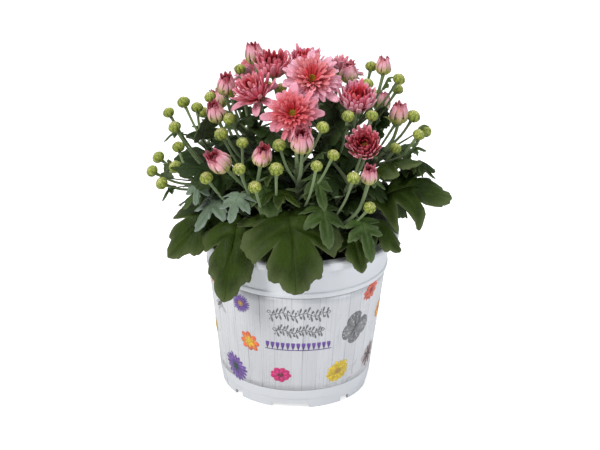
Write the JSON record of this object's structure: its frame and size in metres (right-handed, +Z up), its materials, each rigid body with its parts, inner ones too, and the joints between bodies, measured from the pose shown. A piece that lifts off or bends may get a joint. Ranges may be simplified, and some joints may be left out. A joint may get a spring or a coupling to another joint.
{
  "type": "potted chrysanthemum",
  "caption": "Pot chrysanthemum with coral-pink double blooms, pink and green buds and lobed leaves, in a white tapered plastic pot with a flower-printed sleeve.",
  "frame": {"origin": "centre of the pot's foot, on the surface that the pot stands on", "axes": "+Z up along the pot's axis, -Y towards the front of the plant, where the largest leaf hangs over the rim, and +X to its right as seen from the front"},
  "size_m": [0.2013, 0.1742, 0.2374],
  "materials": {
    "pot_plastic": "satin white",
    "label_film": "printed film, pale grey planks with small flowers",
    "potting_mix": "damp dark peat",
    "stem": "matt pale green",
    "leaf": "matt dark green with a slight sheen",
    "petals": "soft coral pink",
    "bud": "soft pink over a green base"
  },
  "bodies": {
    "root": {"pot": "pot_plastic", "printed_label": "label_film", "potting_mix": "potting_mix", "stem_crown": "stem", "stem_crown_left": "stem", "stem_crown_right": "stem", "stem_left": "stem", "stem_right": "stem", "stem_front_left": "stem", "stem_front": "stem", "stem_front_right": "stem", "stem_back_left": "stem", "stem_back_right": "stem", "bloom_crown": "petals", "bloom_crown_back": "petals", "bloom_front": "petals", "bloom_crown_left": "petals", "bloom_left": "petals", "bloom_right": "petals", "bloom_front_right": "petals", "bud_crown_left": "bud", "bud_left_high": "bud", "bud_left": "bud", "bud_front_left": "bud", "bud_front": "bud", "bud_front_centre": "bud", "bud_crown_right": "bud", "bud_right_high": "bud", "bud_right": "bud", "bud_front_right": "bud", "bloom_back_left": "petals", "bloom_back_right": "petals", "bloom_back": "petals", "bud_back_left": "bud", "bud_back_right": "bud", "leaf_front": "leaf", "leaf_front_left": "leaf", "leaf_left": "leaf", "leaf_right": "leaf", "leaf_right_low": "leaf", "leaf_front_right_low": "leaf", "leaf_front_right": "leaf", "leaf_front_light": "leaf", "leaf_front_left_pale": "leaf", "leaf_left_pale": "leaf", "leaf_left_high": "leaf", "leaf_crown_front": "leaf", "leaf_crown_right": "leaf", "leaf_right_toothed": "leaf", "leaf_back": "leaf", "leaf_back_left": "leaf", "leaf_back_right": "leaf", "leaf_left_back": "leaf", "leaf_right_back": "leaf", "leaf_back_mid": "leaf", "leaf_back_left_high": "leaf", "leaf_back_right_high": "leaf", "leaf_right_high": "leaf"}
  },
  "joints": []
}
